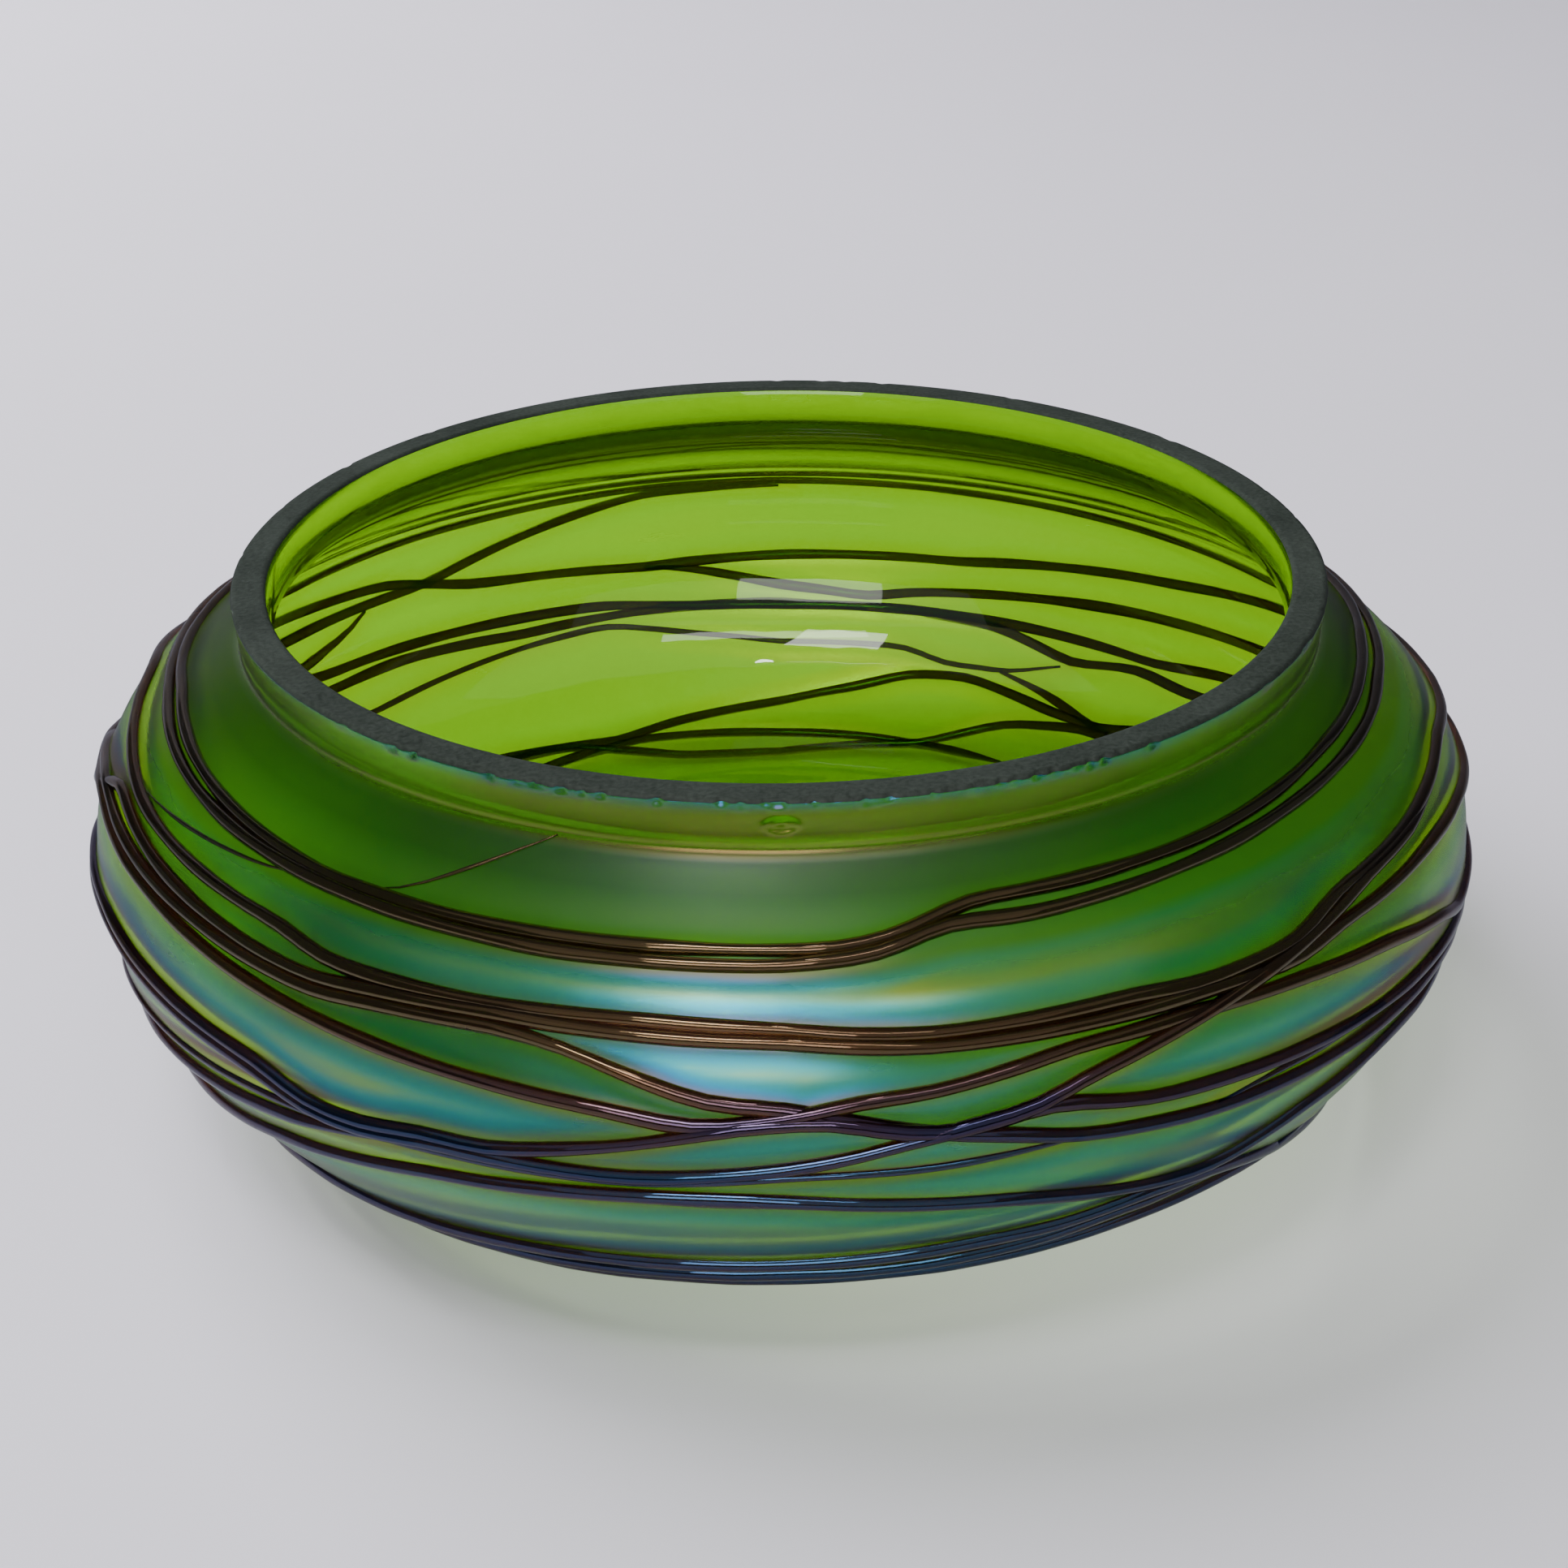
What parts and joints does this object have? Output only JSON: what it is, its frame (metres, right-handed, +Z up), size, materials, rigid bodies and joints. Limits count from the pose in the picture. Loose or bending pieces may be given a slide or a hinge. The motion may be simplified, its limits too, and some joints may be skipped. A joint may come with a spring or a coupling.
{
  "type": "art glass bowl",
  "caption": "Squat round blown glass bowl with a short upright ground rim and irregular glass threads trailed round its outside.",
  "frame": {"origin": "centre of the foot, on the surface that the bowl stands on", "axes": "+Z up along the axis of the bowl, towards the mouth; -Y is the front as seen in the source view; +X is to the right of that view"},
  "size_m": [0.2022, 0.202, 0.072],
  "materials": {
    "green_glass": "clear green with an iridescent outer film, ground matt on the rim",
    "thread_glass": "very dark aubergine with an iridescent film"
  },
  "bodies": {
    "root": {"bowl_shell": "green_glass", "thread_shoulder_upper": "thread_glass", "thread_shoulder_lower": "thread_glass", "thread_belly_top": "thread_glass", "thread_belly_second": "thread_glass", "thread_belly_drop": "thread_glass", "thread_diagonal": "thread_glass", "thread_middle": "thread_glass", "thread_riser": "thread_glass", "thread_fine_feeder": "thread_glass", "thread_low_sweep": "thread_glass", "thread_keel_upper": "thread_glass", "thread_keel_lower": "thread_glass", "thread_keel_edge": "thread_glass", "thread_back_branch": "thread_glass", "thread_bridge": "thread_glass", "hair_shoulder": "thread_glass", "hair_collar": "thread_glass"}
  },
  "joints": []
}
